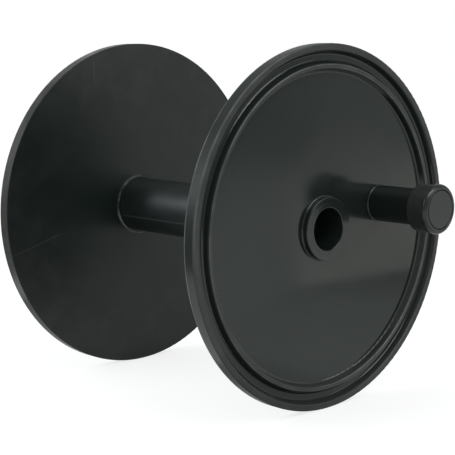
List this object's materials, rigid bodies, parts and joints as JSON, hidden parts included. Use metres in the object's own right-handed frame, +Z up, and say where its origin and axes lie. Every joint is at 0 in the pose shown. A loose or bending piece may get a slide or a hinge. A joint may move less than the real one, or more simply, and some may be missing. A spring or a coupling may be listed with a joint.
{
  "type": "electric fence reel drum",
  "caption": "Drum of an electric fence reel: ringed round flanges on a hub pipe bored for an axle, with a turning crank grip on one flange for winding wire.",
  "frame": {"origin": "on the axis of the axle bore, midway between the two flanges", "axes": "+Y along the bore axis away from the crank, +Z up, +X towards the crank's side"},
  "size_m": [0.24, 0.247, 0.24],
  "materials": {
    "flange_plastic": "semi-gloss moulded black",
    "hub_plastic": "semi-gloss extruded black",
    "bush_plastic": "satin moulded black",
    "grip_plastic": "semi-gloss moulded black",
    "cap_plastic": "satin moulded black",
    "steel": "zinc plated"
  },
  "bodies": {
    "drum": {"front_flange": "flange_plastic", "rear_flange": "flange_plastic", "hub_tube": "hub_plastic", "front_bush": "bush_plastic", "rear_bush": "bush_plastic", "crank_peg": "steel", "peg_screw": "steel", "grip_washer": "steel", "grip_screw": "steel"},
    "grip": {"crank_grip": "grip_plastic", "grip_cap": "cap_plastic"}
  },
  "joints": [
    {"name": "grip_spin", "type": "hinge", "parent": "drum", "child": "grip", "pos_m": [0.05545, -0.1225, 0.01229], "axis": [0, -1, 0], "continuous": true}
  ]
}
